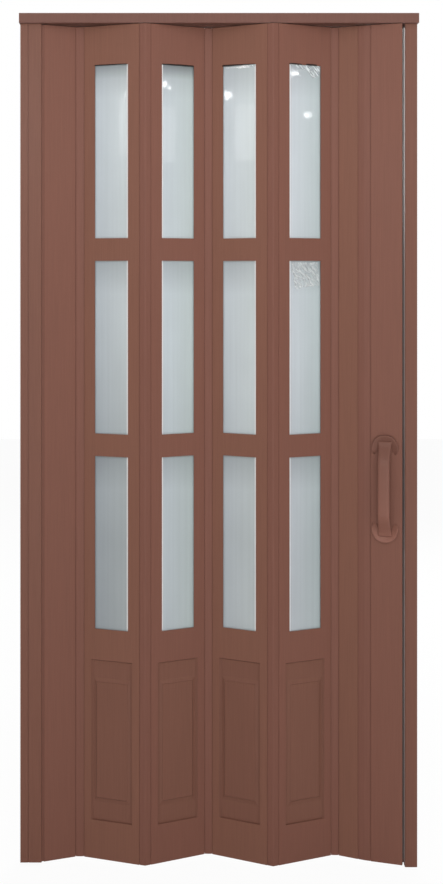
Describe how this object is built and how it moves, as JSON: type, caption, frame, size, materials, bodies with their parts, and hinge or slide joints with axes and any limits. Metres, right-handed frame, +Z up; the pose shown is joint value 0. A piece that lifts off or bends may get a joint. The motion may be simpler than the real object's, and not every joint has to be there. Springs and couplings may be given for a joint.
{
  "type": "folding door",
  "caption": "Plastic accordion door, part folded: zigzag of hollow lamellas with frosted windows and sunk panels, in a header track with side posts.",
  "frame": {"origin": "middle of the header's top face, which is screwed to the lintel", "axes": "+Z up, +X along the track towards the strike jamb, -Y towards the front; +Y is the door's depth"},
  "size_m": [0.9486, 0.0982, 2.03],
  "materials": {
    "lamella_plastic": "satin, faint wood-like tone",
    "post_plastic": "satin",
    "track_plastic": "satin",
    "soft_strip": "soft satin",
    "handle_plastic": "semi gloss",
    "frosted_pane": "frosted",
    "runner_plastic": "smooth",
    "magnet_strip": "matt"
  },
  "bodies": {
    "root": {"glazed_lamella_1": "lamella_plastic", "glazed_lamella_2": "lamella_plastic", "glazed_lamella_3": "lamella_plastic", "glazed_lamella_4": "lamella_plastic", "handle_back": "handle_plastic", "handle_front": "handle_plastic", "header_cap_left": "track_plastic", "header_cap_right": "track_plastic", "header_track": "track_plastic", "hinge_strip_1": "soft_strip", "hinge_strip_2": "soft_strip", "hinge_strip_3": "soft_strip", "hinge_strip_4": "soft_strip", "hinge_strip_5": "soft_strip", "hinge_strip_6": "soft_strip", "lead_lamella": "lamella_plastic", "lead_post": "lamella_plastic", "left_post": "post_plastic", "magnet_strip_jamb": "magnet_strip", "magnet_strip_lead": "magnet_strip", "pane_1_1": "frosted_pane", "pane_1_2": "frosted_pane", "pane_1_3": "frosted_pane", "pane_2_1": "frosted_pane", "pane_2_2": "frosted_pane", "pane_2_3": "frosted_pane", "pane_3_1": "frosted_pane", "pane_3_2": "frosted_pane", "pane_3_3": "frosted_pane", "pane_4_1": "frosted_pane", "pane_4_2": "frosted_pane", "pane_4_3": "frosted_pane", "post_hinge_strip": "soft_strip", "runner_1": "runner_plastic", "runner_2": "runner_plastic", "runner_3": "runner_plastic", "starter_lamella": "lamella_plastic", "strike_jamb": "post_plastic", "sunk_panel_1": "lamella_plastic", "sunk_panel_2": "lamella_plastic", "sunk_panel_3": "lamella_plastic", "sunk_panel_4": "lamella_plastic", "wall_channel": "post_plastic"}
  },
  "joints": []
}
